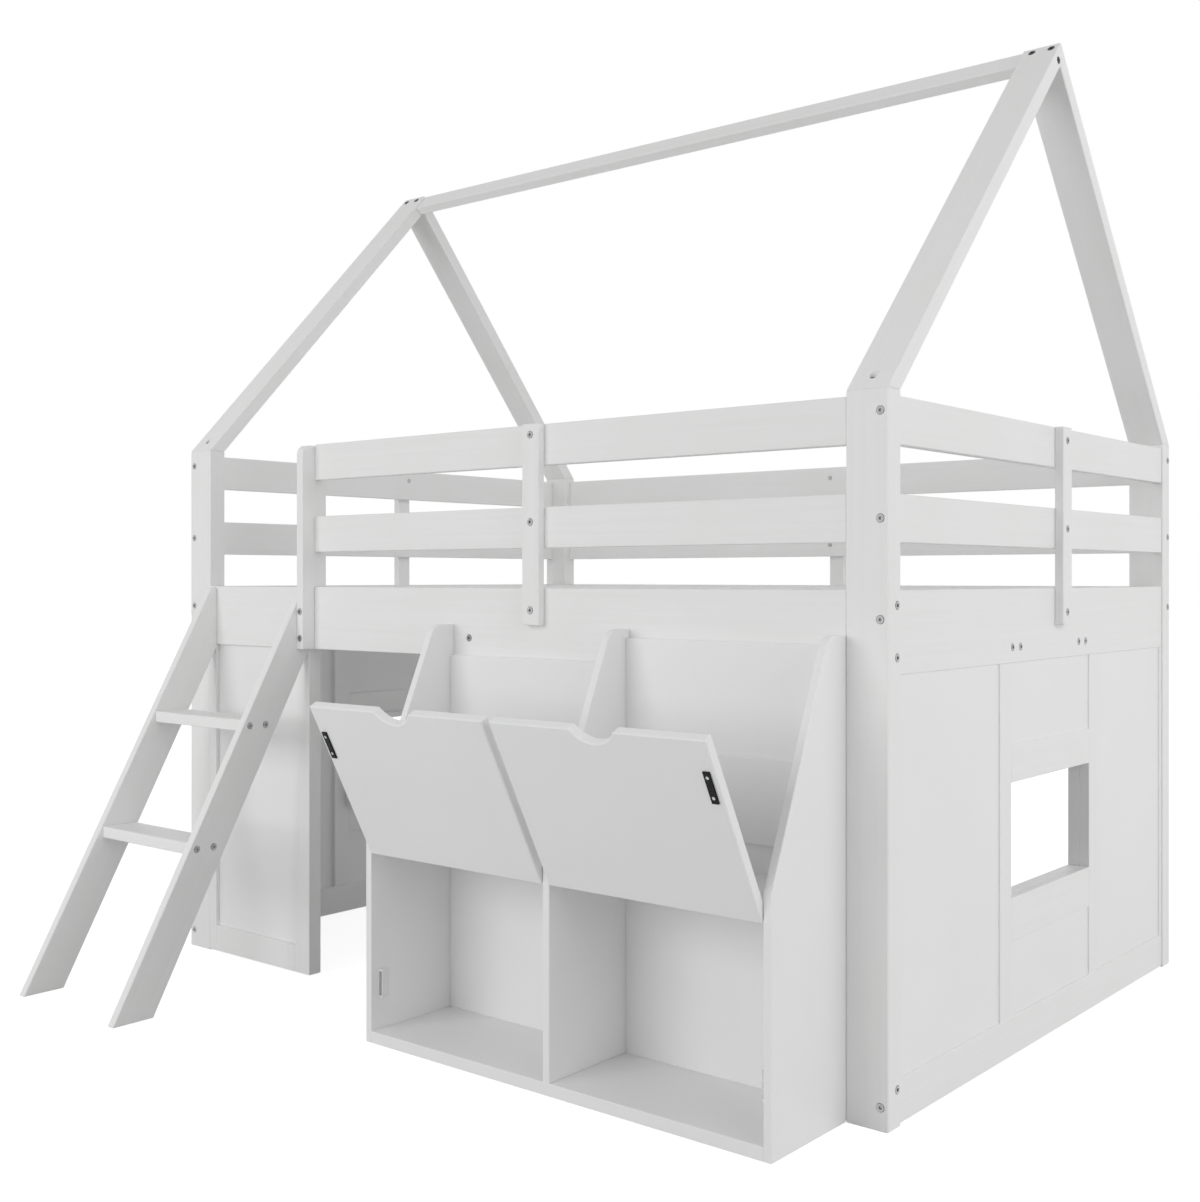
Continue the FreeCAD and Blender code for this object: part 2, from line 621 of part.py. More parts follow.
# Flaps: each turns on two pins near its lower edge; it stands tilted out as an open bin front
for side, (x_from, x_to, back_high) in BAYS.items():
    name = f"flap_{side}"
    wide = f"({x_to} - {x_from} - 2 * flap_gap)"
    body = doc.addObject("PartDesign::Body", "Body_" + name)
    leaf = body.newObject("PartDesign::AdditiveBox", "Leaf")
    bind(leaf, "Length", wide)
    bind(leaf, "Width", "flap_thick")
    bind(leaf, "Height", "flap_tall")
    bind(leaf, "Placement.Base.y", "0 - flap_thick / 2")
    bind(leaf, "Placement.Base.z", "0 - pivot_up")
    grip = body.newObject("PartDesign::SubtractiveCylinder", "Grip")
    grip.Placement = Placement(Vector(0, 0, 0), Rotation(Vector(1, 0, 0), 90))
    grip_radius = "((notch_wide * notch_wide / 4 + notch_deep * notch_deep) / (2 * notch_deep))"
    bind(grip, "Radius", grip_radius)
    bind(grip, "Height", "flap_thick + 2 * grip_over")
    bind(grip, "Placement.Base.x", f"{wide} / 2")
    bind(grip, "Placement.Base.y", "flap_thick / 2 + grip_over")
    bind(grip, "Placement.Base.z", f"flap_tall - pivot_up - notch_deep + {grip_radius}")
    ease_edges(body, grip, "flap_ease")
    for hand, start in (("left", "0 - cut_over"), ("right", f"{wide} - pin_reach - pin_end_air")):
        bore = body.newObject("PartDesign::SubtractiveCylinder", "Bore_" + hand)
        bore.Placement = Placement(Vector(0, 0, 0), Rotation(Vector(0, 1, 0), 90))
        bind(bore, "Radius", "pin_radius + pin_play")
        bind(bore, "Height", "pin_reach + pin_end_air + cut_over")
        bind(bore, "Placement.Base.x", start)
    body.Placement = Placement(Vector(0, 0, 0), Rotation(Vector(1, 0, 0), SIZES["flap_tilt"]))
    bind(body, "Placement.Rotation.Angle", "flap_tilt")
    put(body, f"{x_from} + flap_gap", PIVOT_Y, "pivot_high")
    blanks[name] = body
    piece(name)
    # strike plate on the outer face, near the corner away from the divider
    plate = doc.addObject("Part::Box", f"Plate_{side}")
    bind(plate, "Length", "plate_wide")
    bind(plate, "Width", "plate_thick")
    bind(plate, "Height", "plate_long")
    plate.Placement = Placement(Vector(0, 0, 0), Rotation(Vector(1, 0, 0), SIZES["flap_tilt"]))
    bind(plate, "Placement.Rotation.Angle", "flap_tilt")
    plate_x = f"{x_from} + flap_gap + plate_edge"
    if side == "right":
        plate_x = f"{x_to} - flap_gap - plate_edge - plate_wide"
    out = "(flap_thick / 2 + plate_thick)"
    up = "(flap_tall - pivot_up - plate_down - plate_long)"
    put(plate, plate_x, f"{PIVOT_Y} - {out} * cos(flap_tilt * 1deg) - {up} * sin(flap_tilt * 1deg)",
        f"pivot_high - {out} * sin(flap_tilt * 1deg) + {up} * cos(flap_tilt * 1deg)")
    blanks[f"strike_plate_{side}"] = plate
    piece(f"strike_plate_{side}")
    # magnetic catch on the cabinet side, where the hanging flap's plate comes to rest
    catch = doc.addObject("Part::Box", f"Catch_{side}")
    bind(catch, "Length", "catch_thick")
    bind(catch, "Width", "catch_deep")
    bind(catch, "Height", "catch_long")
    catch_x = x_from if side == "left" else f"{x_to} - catch_thick"
    put(catch, catch_x, f"{PIVOT_Y} + {out} + catch_air", "catch_low")
    blanks[f"catch_{side}"] = catch
    piece(f"catch_{side}", "catches")

# Pivot pins, set in the cabinet sides and the divider
PIN_LONG = "pin_seat + flap_gap + pin_reach"
PINS = {
    "1": ("+x", BIN_L, "cabinet_side_left"),
    "2": ("-x", DIVIDER, "cabinet_divider"),
    "3": ("+x", BIN_R, "cabinet_divider"),
    "4": ("-x", BIN_END, "cabinet_side_right"),
}
for number, (way, face, seat) in PINS.items():
    at = (face, PIVOT_Y, "pivot_high")
    blanks["pin_" + number] = round_bar("pin_" + number, way, at, "0 - pin_seat", "pin_radius", PIN_LONG)
    piece("pin_" + number, "pivot_pins")
    hole = round_bar(f"pin_{number}_hole", way, at, "0 - pin_seat", "pin_radius + pin_play",
                     "pin_seat + 2 * cut_over")
    bores.setdefault(seat, []).append(hole)

# Bolts through the posts into the end rails
END_MID = "(end_set + rail_thick / 2)"
for end in ("left", "right"):
    bolt_x = at_end(end, END_MID, END_MID)[0]
    heights = {
        BOLT_UPPER: f"guard_{end}_upper",
        BOLT_LOWER: f"guard_{end}_lower",
        BOLT_BED: f"bed_rail_{end}",
        "(wall_lift + sill_tall / 2)": f"wall_sill_{end}",
    }
    for height, rail in heights.items():
        bolt("bolts_front", "+y", (bolt_x, "0", height), "post_deep + bolt_bite",
             [f"post_front_{end}", rail])
        # at the back they sit lower, clear of the bolts that run along the long rails
        drop = "0" if rail.startswith("wall_sill") else "bolt_back_drop"
        bolt("bolts_back", "-y", (bolt_x, "bed_wide", f"{height} - {drop}"), "post_deep + bolt_bite",
             [f"post_back_{end}", rail])

# Bolts through the posts into the ledgers and the kick boards
for end, way in (("left", "+x"), ("right", "-x")):
    face = at_end(end, "0", "0")[0]
    kick = {"left": "front_kick", "right": "cabinet_kick"}[end]
    for height in ("(ledger_low + bolt_ledger_in)", f"({SLAT_SEAT} - bolt_ledger_in)"):
        bolt("bolts_ends", way, (face, SECOND_BOARD, height), "post_wide + bolt_bite",
             [f"post_front_{end}", "ledger_front"])
    for height, rail in ((BOLT_UPPER, "guard_back_upper"),
                         ("guard_lower_low + bolt_back_lower_up", "guard_back_lower"),
                         ("bed_low + bolt_back_bed_up", "bed_rail_back")):
        bolt("bolts_ends", way, (face, "bed_wide - rail_thick / 2", height), "post_wide + bolt_bite",
             [f"post_back_{end}", rail])
    bolt("bolts_ends", way, (face, SECOND_BOARD, "(kick_low + kick_tall / 2)"), "post_wide + bolt_bite",
         [f"post_front_{end}", kick])
    # battens to the end rails, and the end rails to the head rail behind them
    batten_face = at_end(end, "end_set - batten_thick", "end_set - batten_thick")[0]
    for height, rail in ((BOLT_UPPER, f"guard_{end}_upper"), (BOLT_LOWER, f"guard_{end}_lower"),
                         (BOLT_BED, f"bed_rail_{end}")):
        bolt("bolts_ends", way, (batten_face, f"batten_{end}_at", height), NUT_FROM,
             [f"batten_{end}", rail], nut=True)
    rail_face = at_end(end, "end_set", "end_set")[0]
    for y in (f"{STILE_FROM} + stile_wide + bolt_wall_in - bolt_wall_apart / 2",
              f"{STILE_FROM} + stile_wide + bolt_wall_in + bolt_wall_apart / 2",
              f"{WINDOW_TO} - bolt_wall_in_back - bolt_wall_apart / 2",
              f"{WINDOW_TO} - bolt_wall_in_back + bolt_wall_apart / 2"):
        bolt("bolts_ends", way, (rail_face, y, "bed_low + bolt_pair_up"), "rail_thick + rail_thick / 2",
             [f"bed_rail_{end}", f"head_rail_{end}"])
    # rafters to the ridge board
    bolt("bolts_roof", way, (face, *under_roof("bolt_ridge_down", "bolt_ridge_deep")),
         "post_wide + bolt_bite", [f"rafter_front_{end}", "ridge_board"])

# Bolts down through the rafter feet, and through the front rafters into the back ones
FOOT_Z = f"(post_high + {RISE} * bolt_foot_in / apex_back)"
FOOT_BACK_Z = f"(post_high + {RISE} * bolt_foot_in / (bed_wide - apex_back))"
for end in ("left", "right"):
    post_mid = at_end(end, "post_wide / 2", "post_wide / 2")[0]
    bolt("bolts_roof", "-z", (post_mid, "bolt_foot_in", f"{FOOT_Z} - head_radius"),
         "post_deep + bolt_bite", [f"rafter_front_{end}", f"post_front_{end}"], "bore_over_foot")
    bolt("bolts_roof", "-z", (post_mid, "bed_wide - bolt_foot_in", f"{FOOT_BACK_Z} - head_radius"),
         "post_deep + bolt_bite", [f"rafter_back_{end}", f"post_back_{end}"], "bore_over_foot")
    for across in ("bolt_rafter_edge", "bolt_rafter_edge + bolt_rafter_apart"):
        bolt_x = at_end(end, across, across)[0]
        bolt("bolts_roof", "into_roof", (bolt_x, *under_roof("bolt_apex_down", "0")), "bolt_apex_long",
             [f"rafter_front_{end}", f"rafter_back_{end}"], "bore_over_apex")

# Bolts through the front and back battens, the guard post, the ladder and the bed rail
# (the ledger covers the inside of the bed rail, so the bolts there end in the wood)
BATTENS = {
    "front": ("+y", "batten_front_at", "0 - batten_thick",
              "bolt_batten_upper_up", "bolt_batten_lower_up"),
    "back": ("-y", "bolt_batten_back_at", "bed_wide + batten_thick",
             "bolt_batten_back_upper_up", "bolt_batten_back_lower_up"),
}
for side, (way, at_x, face, upper_up, lower_up) in BATTENS.items():
    bolt(f"bolts_{side}", way, (at_x, face, f"guard_upper_low + {upper_up}"), NUT_FROM,
         [f"batten_{side}", f"guard_{side}_upper"], nut=True)
    bolt(f"bolts_{side}", way, (at_x, face, f"guard_lower_low + {lower_up}"), NUT_FROM,
         [f"batten_{side}", f"guard_{side}_lower"], nut=True)
    bolt(f"bolts_{side}", way, (at_x, face, "bed_low + bolt_batten_bed_up"),
         "batten_thick + rail_thick / 2", [f"batten_{side}", f"bed_rail_{side}"])
for height in ("bed_low + bolt_guard_up", "bed_low + bolt_bed_up - bolt_guard_drop"):
    bolt("bolts_front", "+y", (f"{LADDER_R} + guard_post_thick / 2", "0 - guard_post_fore", height),
         "guard_post_fore + rail_thick / 2", ["guard_post", "bed_rail_front"])
bolt("bolts_front", "+y", ("bolt_bin_at", "0", "bolt_bin_high"), SECOND_BOARD,
     ["bed_rail_front", "ledger_front"])
for level, top in TREADS.items():
    for step in ("bolt_tread_in", "bolt_tread_in + bolt_tread_apart"):
        at_y = f"{tread_front[level]} + {step}"
        at_z = f"{top} - tread_thick / 2"
        bolt("bolts_ends", "+x", ("ladder_from", at_y, at_z), "stringer_thick + bolt_bite",
             ["stringer_left", f"tread_{level}"])
        bolt("bolts_ends", "-x", (LADDER_R, at_y, at_z), "stringer_thick + bolt_bite",
             ["stringer_right", f"tread_{level}"])

# Bore the boards, then gather the solids that share a node
solids = {}
for name, blank in blanks.items():
    solids[name] = blank
    if name in bores:
        tool = doc.addObject("Part::MultiFuse", f"{name}_bores") if len(bores[name]) > 1 else None
        if tool:
            tool.Shapes = bores[name]
        bored = doc.addObject("Part::Cut", f"{name}_bored")
        bored.Base = blank
        bored.Tool = tool if tool else bores[name][0]
        solids[name] = bored
for node, members in groups.items():
    if len(members) == 1:
        final = solids[members[0]]
    else:
        final = doc.addObject("Part::Compound", f"{node}_group")
        final.Links = [solids[m] for m in members]
    final.Label = node
    nodes.append(final)
doc.recompute()

for obj in doc.Objects:
    if "Invalid" in obj.State or "Error" in obj.State:
        raise RuntimeError(f"{obj.Label} failed: {obj.State}")
os.makedirs("parts", exist_ok=True)
for node in nodes:
    shape = node.Shape
    if shape.isNull() or not shape.isValid():
        raise RuntimeError(f"{node.Label} has no valid shape")
    if len(shape.Solids) != len(groups[node.Label]):
        raise RuntimeError(f"{node.Label} has {len(shape.Solids)} solids")
    shape.exportStep(f"parts/{node.Label}.step")
print(len(nodes), "nodes", sum(len(n.Shape.Solids) for n in nodes), "solids")
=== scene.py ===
# %% [markdown]
# # A white loft bed with a house-shaped roof
#
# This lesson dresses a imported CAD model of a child's loft bed: posts and rafters in the
# outline of a house, a ladder, a low cabinet with two tilting flaps, and end walls with
# a window in each. The boards already have their true shapes, so the work here is in
# the finishes, the few fixings that are too small for the CAD, the light and the camera.

# %% Load the frame
from math import cos, pi, radians, sin

import bmesh
import bpy
from mathutils import Matrix, Vector


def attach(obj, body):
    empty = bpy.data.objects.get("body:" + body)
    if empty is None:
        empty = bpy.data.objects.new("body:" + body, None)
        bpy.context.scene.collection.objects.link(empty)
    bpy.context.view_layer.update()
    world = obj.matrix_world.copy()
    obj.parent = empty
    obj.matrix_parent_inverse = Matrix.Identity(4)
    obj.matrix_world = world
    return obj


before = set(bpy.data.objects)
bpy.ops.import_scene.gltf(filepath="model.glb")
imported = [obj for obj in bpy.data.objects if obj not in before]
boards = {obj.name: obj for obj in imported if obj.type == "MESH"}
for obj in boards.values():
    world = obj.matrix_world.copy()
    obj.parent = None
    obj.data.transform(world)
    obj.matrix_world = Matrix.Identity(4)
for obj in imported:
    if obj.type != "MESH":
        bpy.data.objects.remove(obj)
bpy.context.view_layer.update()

# %% [markdown]
# ## Colours and nodes
#
# Paint charts give colours as sRGB hex, while shaders work in linear light, so one
# function translates. A second small function adds a shader node together with its
# settings and its links: nodes could be added with a few lines each, but one call for
# each keeps a material short enough to read at once. The last two functions hold what
# every finish of the bed starts and ends with.


# %% Helpers for materials
def paint_chip(hex_colour):
    """A linear RGBA colour from an sRGB hex value such as #F5F5F5."""
    channels = [int(hex_colour[i:i + 2], 16) / 255 for i in (1, 3, 5)]
    return [c / 12.92 if c <= 0.04045 else ((c + 0.055) / 1.055) ** 2.4 for c in channels] + [1.0]


def add(tree, kind, links=None, stops=(), **settings):
    """A node of that kind. A setting is a socket's or a property's name; links feed sockets.

    The stops of a colour ramp are given as positions and hex colours.
    """
    node = tree.nodes.new(kind)
    for name, value in settings.items():
        socket = name.replace("_", " ").title()
        if socket in node.inputs:
            node.inputs[socket].default_value = value
        else:
            setattr(node, name, value)
    for name, source in (links or {}).items():
        tree.links.new(source, node.inputs[name])
    for k, (position, hex_colour) in enumerate(stops):
        node.color_ramp.elements[k].position = position
        node.color_ramp.elements[k].color = paint_chip(hex_colour)
    return node


def new_finish(name):
    """An empty node material, with its tree, its shader and the surface's own coordinates."""
    finish = bpy.data.materials.new(name)
    finish.use_nodes = True
    tree = finish.node_tree
    tree.nodes.clear()
    shader = add(tree, "ShaderNodeBsdfPrincipled")
    add(tree, "ShaderNodeOutputMaterial", {"Surface": shader.outputs["BSDF"]})
    place = add(tree, "ShaderNodeTexCoord").outputs["Object"]
    return finish, tree, shader, place


def feed(tree, shader, colour, roughness, normal):
    """Links the three patterns of a finish to its shader."""
    tree.links.new(colour, shader.inputs["Base Color"])
    tree.links.new(roughness, shader.inputs["Roughness"])
    tree.links.new(normal, shader.inputs["Normal"])


print("middle grey in linear light:", [round(c, 3) for c in paint_chip("#808080")])

# %% [markdown]
# ## Painted pine
#
# The posts, rails, rafters and ladder are solid pine under two sprayed coats of satin
# white acrylic. The paint hides the colour of the wood, but the late-wood ridges still
# show through it as faint lengthwise lines, and the coat is not equally thick all over.
# A photo texture would need unwrapping; a noise stretched along the board needs only the
# board's direction, so one function makes the same paint for each direction of grain.

# %% Painted pine, one finish for each direction of grain
WHITE_COAT = "#F5F5F5"      # where the coat is thick
THIN_COAT = "#F2F2F1"       # where the wood warms it a little
THIN_BELOW, THICK_ABOVE = 0.12, 0.34    # shares of the noise at which the coat is so
GRAIN_LENGTH = 0.42         # a late-wood line runs this far before it fades, in metres
GRAIN_SPACING = 0.007       # real rings are 2-4 mm apart: drawn coarser, so that they show
GRAIN_OCTAVES, GRAIN_FINENESS = 4.0, 0.55
COAT_PATCH = 0.25           # the coat drifts from thick to thin over about this distance
COAT_OCTAVES = 2.0
PAINT_IOR = 1.5             # acrylic
SATIN = 0.42                # roughness of a satin coat
SATIN_DRIFT = 0.05
RIDGE_HEIGHT = 0.0003       # late wood stands this far above early wood, in metres
RIDGE_STRENGTH = 0.015      # and two coats of paint fill most of it


def painted_pine(name, along):
    """Satin white paint over pine whose grain runs in that direction."""
    finish, tree, shader, place = new_finish(name)
    turn = Vector(along).to_track_quat("X", "Z").to_euler()
    lengthwise = add(tree, "ShaderNodeMapping", {"Vector": place}, vector_type="TEXTURE",
                     rotation=turn, scale=(GRAIN_LENGTH, GRAIN_SPACING, GRAIN_SPACING))
    grain = add(tree, "ShaderNodeTexNoise", {"Vector": lengthwise.outputs["Vector"]},
                scale=1.0, detail=GRAIN_OCTAVES, roughness=GRAIN_FINENESS)
    patches = add(tree, "ShaderNodeTexNoise", {"Vector": place},
                  scale=1 / COAT_PATCH, detail=COAT_OCTAVES)
    thickness = add(tree, "ShaderNodeMath", operation="MULTIPLY")
    tree.links.new(grain.outputs["Fac"], thickness.inputs[0])
    tree.links.new(patches.outputs["Fac"], thickness.inputs[1])
    coat = add(tree, "ShaderNodeValToRGB", {"Fac": thickness.outputs["Value"]},
               stops=[(THIN_BELOW, THIN_COAT), (THICK_ABOVE, WHITE_COAT)])
    sheen = add(tree, "ShaderNodeMapRange", {"Value": patches.outputs["Fac"]},
                to_min=SATIN - SATIN_DRIFT, to_max=SATIN + SATIN_DRIFT)
    ridges = add(tree, "ShaderNodeBump", {"Height": grain.outputs["Fac"]},
                 strength=RIDGE_STRENGTH, distance=RIDGE_HEIGHT)
    feed(tree, shader, coat.outputs["Color"], sheen.outputs["Result"], ridges.outputs["Normal"])
    shader.inputs["IOR"].default_value = PAINT_IOR
    return finish


# The slopes of the roof's two sides and of the ladder, for the way the grain runs.
FRONT_PITCH = radians(46.9)
BACK_PITCH = radians(49.8)
LADDER_PITCH = radians(62)
GRAIN_WAYS = {
    "along_bed": (1, 0, 0),
    "across_bed": (0, 1, 0),
    "upright": (0, 0, 1),
    "front_roof": (0, cos(FRONT_PITCH), sin(FRONT_PITCH)),
    "back_roof": (0, -cos(BACK_PITCH), sin(BACK_PITCH)),
    "ladder": (0, cos(LADDER_PITCH), sin(LADDER_PITCH)),
}
pine = {way: painted_pine(f"painted_pine_{way}", along) for way, along in GRAIN_WAYS.items()}
print("pine finishes:", sorted(pine))

# %% [markdown]
# ## Sprayed board
#
# Cabinet, flaps, window linings and wall infill are cut from MDF (medium-density
# fibreboard). MDF has no grain: what shows instead is the orange peel of the spray gun, a
# soft dimple every few millimetres. The pine paint would put grain where there is none,
# so the board gets a finish of its own: one noise for the dimples and one for the coat.

# %% Sprayed board
BOARD_WHITE = "#F5F5F5"
BOARD_SHADE = "#F3F3F3"     # where the coat is thinner
SHADE_BELOW, WHITE_ABOVE = 0.3, 0.65
BOARD_COAT_OCTAVES = 3.0
DIMPLE = 0.005              # real orange peel is 2-3 mm: drawn coarser, so that it shows
DIMPLE_OCTAVES = 1.0
DIMPLE_HEIGHT = 0.0005
DIMPLE_STRENGTH = 0.05
SHINIER, DULLER = 0.06, 0.02    # how far roughness strays from satin, low and high in a dimple


def sprayed_board(name):
    """Satin white paint sprayed over MDF."""
    finish, tree, shader, place = new_finish(name)
    dimples = add(tree, "ShaderNodeTexNoise", {"Vector": place},
                  scale=1 / DIMPLE, detail=DIMPLE_OCTAVES)
    patches = add(tree, "ShaderNodeTexNoise", {"Vector": place},
                  scale=1 / COAT_PATCH, detail=BOARD_COAT_OCTAVES)
    coat = add(tree, "ShaderNodeValToRGB", {"Fac": patches.outputs["Fac"]},
               stops=[(SHADE_BELOW, BOARD_SHADE), (WHITE_ABOVE, BOARD_WHITE)])
    sheen = add(tree, "ShaderNodeMapRange", {"Value": dimples.outputs["Fac"]},
                to_min=SATIN - SHINIER, to_max=SATIN + DULLER)
    peel = add(tree, "ShaderNodeBump", {"Height": dimples.outputs["Fac"]},
               strength=DIMPLE_STRENGTH, distance=DIMPLE_HEIGHT)
    feed(tree, shader, coat.outputs["Color"], sheen.outputs["Result"], peel.outputs["Normal"])
    shader.inputs["IOR"].default_value = PAINT_IOR
    return finish


board = sprayed_board("sprayed_board")
print("board finish:", board.name)

# %% [markdown]
# ## Metal and plastic
#
# The socket-head bolts and pins are zinc-plated steel, which is tumbled rather than
# polished, so its shine is broken into soft patches. The bolts of the roof are the same
# zinc drawn darker: a darker copy of the zinc is painted shade for the deep holes they
# sit in. The strike plates are blackened steel. The catches are moulded ABS with the fine
# grain of the mould. Each could have a tree of its own, but they differ only in colour,
# patch size and gloss, so one function takes those and lets a single noise drive colour,
# roughness and relief together.

# %% Zinc, blackened steel and ABS
CLOUD_OCTAVES = 3.0
CLOUD_DARK, CLOUD_LIGHT = 0.35, 0.65    # shares of the noise that take the two colours whole
LUMP_HEIGHT = 0.0002                    # in metres


def mottled(name, light, dark, patch, metallic, rough, rough_drift, lumps):
    """A surface that drifts between two colours over patches of that size in metres."""
    finish, tree, shader, place = new_finish(name)
    cloud = add(tree, "ShaderNodeTexNoise", {"Vector": place},
                scale=1 / patch, detail=CLOUD_OCTAVES)
    tone = add(tree, "ShaderNodeValToRGB", {"Fac": cloud.outputs["Fac"]},
               stops=[(CLOUD_DARK, dark), (CLOUD_LIGHT, light)])
    gloss = add(tree, "ShaderNodeMapRange", {"Value": cloud.outputs["Fac"]},
                to_min=rough - rough_drift, to_max=rough + rough_drift)
    relief = add(tree, "ShaderNodeBump", {"Height": cloud.outputs["Fac"]},
                 strength=lumps, distance=LUMP_HEIGHT)
    feed(tree, shader, tone.outputs["Color"], gloss.outputs["Result"], relief.outputs["Normal"])
    shader.inputs["Metallic"].default_value = metallic
    return finish


# Zinc plate: tumbled in a barrel, a cool grey with cloudy patches a millimetre or two wide.
zinc = mottled("zinc_plated_steel", light="#C2C3C4", dark="#A2A3A4", patch=0.002,
               metallic=1.0, rough=0.36, rough_drift=0.08, lumps=0.1)
# Painted shade: the same zinc drawn darker for the bolts of the roof, which sit in deep holes.
zinc_painted_shade = mottled("zinc_plated_steel_painted_shade", light="#565758", dark="#404142", patch=0.002,
                     metallic=1.0, rough=0.36, rough_drift=0.08, lumps=0.1)
# Blackened steel: a hot-dipped oxide, nearly black, with a dull sheen.
black = mottled("blackened_steel", light="#2B2B2C", dark="#1B1B1C", patch=0.003,
                metallic=1.0, rough=0.42, rough_drift=0.08, lumps=0.1)
# ABS: injection moulded, an even white with the fine spark grain of the mould.
abs_white = mottled("moulded_abs", light="#F0F0F0", dark="#EAEAEA", patch=0.0015,
                    metallic=0.0, rough=0.38, rough_drift=0.05, lumps=0.15)
print("fixings:", zinc.name, zinc_painted_shade.name, black.name, abs_white.name)

# %% [markdown]
# ## Each board gets its paint
#
# A CAD node keeps its mesh and its place, and only its material slot changes. The
# grain follows the way each board was sawn: rails along the bed, slats across it,
# posts upright, rafters and stringers along their slope. A list for each direction
# is easier to check against the bed than a rule that guesses from a board's shape.

# %% Hand out the finishes
finish_of = {
    "pivot_pins": zinc,
    "catches": abs_white,
    # The roof's bolts get the darker copy of the zinc, painted shade for their deep holes.
    "bolts_front": zinc, "bolts_back": zinc, "bolts_ends": zinc, "bolts_roof": zinc_painted_shade,
    "strike_plate_left": black, "strike_plate_right": black,
}
sawn = {
    "along_bed": ["bed_rail_front", "bed_rail_back", "guard_rails_front", "guard_rails_back",
                  "ledger_front", "ledger_back", "spine_beam", "ridge_board",
                  "tread_low", "tread_high"],
    "across_bed": ["bed_rail_left", "bed_rail_right", "guard_rails_left", "guard_rails_right",
                   "mattress_slats", "wall_rails_left", "wall_rails_right"],
    "upright": ["post_front_left", "post_front_right", "post_back_left", "post_back_right",
                "guard_post", "batten_front", "batten_back", "batten_left", "batten_right",
                "wall_stiles_left", "wall_stiles_right", "front_wall_frame"],
    "front_roof": ["rafter_front_left", "rafter_front_right"],
    "back_roof": ["rafter_back_left", "rafter_back_right"],
    "ladder": ["stringer_left", "stringer_right"],
}
for direction, names in sawn.items():
    for name in names:
        finish_of[name] = pine[direction]
for name, node in boards.items():
    node.data.materials.clear()
    node.data.materials.append(finish_of.get(name, board))
print("sprayed boards:", sorted(set(boards) - set(finish_of)))

# %% [markdown]
# ## Screws of the strike plates
#
# Each plate is held by two countersunk screws with a cross recess. They are 6 mm across,
# so they were left out of the CAD, but their bright heads show on the black plate. A
# head is a low dome with a cross sunk into it. Cutting the cross with a boolean would
# leave ragged faces at this size, so the head is built ring by ring in bmesh, and its
# last ring has the outline of the cross.

# %% The shape of a screw head
DOME = [(1.0, 0.0), (0.97, 0.45), (0.8, 0.8), (0.55, 1.0)]  # shares of radius and of rise
STEPS = 24                  # corners of each ring
STEPS_TO_ARM = 6            # the cross has four arms
CROSS_REACH = 0.5           # share of the radius that an arm of the cross reaches
CROSS_WAIST = 0.42          # share of that reach between two arms
CROSS_FLOOR = 0.4           # share of the rise at the bottom of the cross


def ring(mesh, reaches, height, shift=0.0):
    """A ring of corners at that height, each at its own distance from the axis."""
    turns = [2 * pi * (k + shift) / STEPS for k in range(STEPS)]
    return [mesh.verts.new((reach * cos(a), reach * sin(a), height))
            for reach, a in zip(reaches, turns)]


def cross_head(name, radius, rise):
    """A low domed screw head, axis +Z, its seat at z = 0, with a cross sunk into it."""
    mesh = bmesh.new()
    loops = [ring(mesh, [radius * out] * STEPS, rise * up) for out, up in DOME]
    reaches = [radius * CROSS_REACH * (1.0 if k % STEPS_TO_ARM in (0, 1) else CROSS_WAIST)
               for k in range(STEPS)]
    loops.append(ring(mesh, reaches, rise * CROSS_FLOOR, shift=-0.5))
    for low, high in zip(loops, loops[1:]):
        for k in range(STEPS):
            after = (k + 1) % STEPS
            mesh.faces.new((low[k], low[after], high[after], high[k]))
    mesh.faces.new(list(reversed(loops[0])))
    mesh.faces.new(loops[-1])
    data = bpy.data.meshes.new(name)
    mesh.to_mesh(data)
    mesh.free()
    return data


print("a head has", STEPS * len(DOME) + 2, "faces")

# %% Two screws in each plate
SCREW_RADIUS = 0.003
SCREW_RISE = 0.0003         # flush but for a hair: the catch stops 0.4 mm off the plate
SCREW_SPREAD = 0.64         # the two screws stand this share of the plate's length apart
for side in ("left", "right"):
    plate = boards[f"strike_plate_{side}"]
    points = [v.co for v in plate.data.vertices]
    middle = sum(points, Vector()) / len(points)
    # The plate's own frame: its broad face, and its long way.
    front_faces = [face for face in plate.data.polygons if face.normal.y < 0]
    out = max(front_faces, key=lambda face: face.area).normal.copy()
    length_way = out.cross(Vector((1, 0, 0))).normalized()
    reach = max((p - middle).dot(length_way) for p in points)
    proud = max((p - middle).dot(out) for p in points)
    facing_out = out.to_track_quat("Z", "Y").to_matrix().to_4x4()
    for end, sign in (("low", -1), ("high", 1)):
        screw = bpy.data.objects.new(f"plate_screw_{side}_{end}",
                                     cross_head("plate_screw", SCREW_RADIUS, SCREW_RISE))
        bpy.context.scene.collection.objects.link(screw)
        spot = middle + out * proud + length_way * (sign * reach * SCREW_SPREAD)
        screw.matrix_world = Matrix.Translation(spot) @ facing_out
        screw.data.materials.append(zinc)
        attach(screw, f"flap_{side}")
        print(screw.name, [round(c, 4) for c in spot])

# %% [markdown]
# ## Steel bars of the catches
#
# A magnetic catch shows the steel of its magnet as a grey bar in its white face, plated
# with zinc like the bolts. The CAD has the plastic block alone. A mask in the block's
# material could paint the bar, but a thin plate let into the face is simpler and has true
# edges, so each block gets one.

